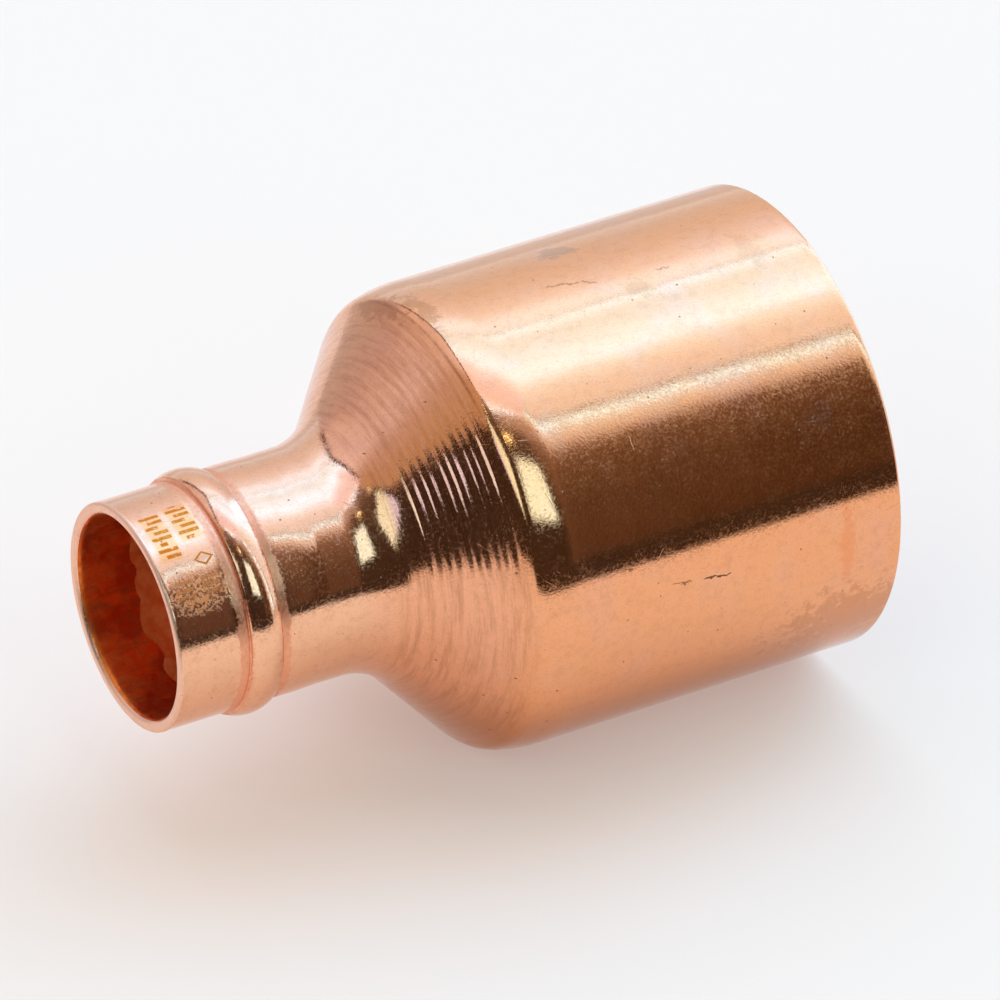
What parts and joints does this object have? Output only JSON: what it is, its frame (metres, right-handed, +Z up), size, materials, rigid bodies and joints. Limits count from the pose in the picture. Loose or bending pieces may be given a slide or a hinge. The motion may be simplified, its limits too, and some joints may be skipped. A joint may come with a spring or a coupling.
{
  "type": "concentric pipe reducer",
  "caption": "Concentric copper reducer: a plain wide spigot tapers through a spun cone to a beaded socket that holds a ring of solder.",
  "frame": {"origin": "on the fitting's centreline, midway between the mouth of the socket and the end of the spigot", "axes": "+X along the centreline towards the end of the spigot, +Z up with the fitting lying on its spigot, +Y to the far side"},
  "size_m": [0.054, 0.035, 0.035],
  "materials": {
    "copper": "satin",
    "solder": "matte"
  },
  "bodies": {
    "root": {"copper_body": "copper", "solder_ring": "solder"}
  },
  "joints": []
}
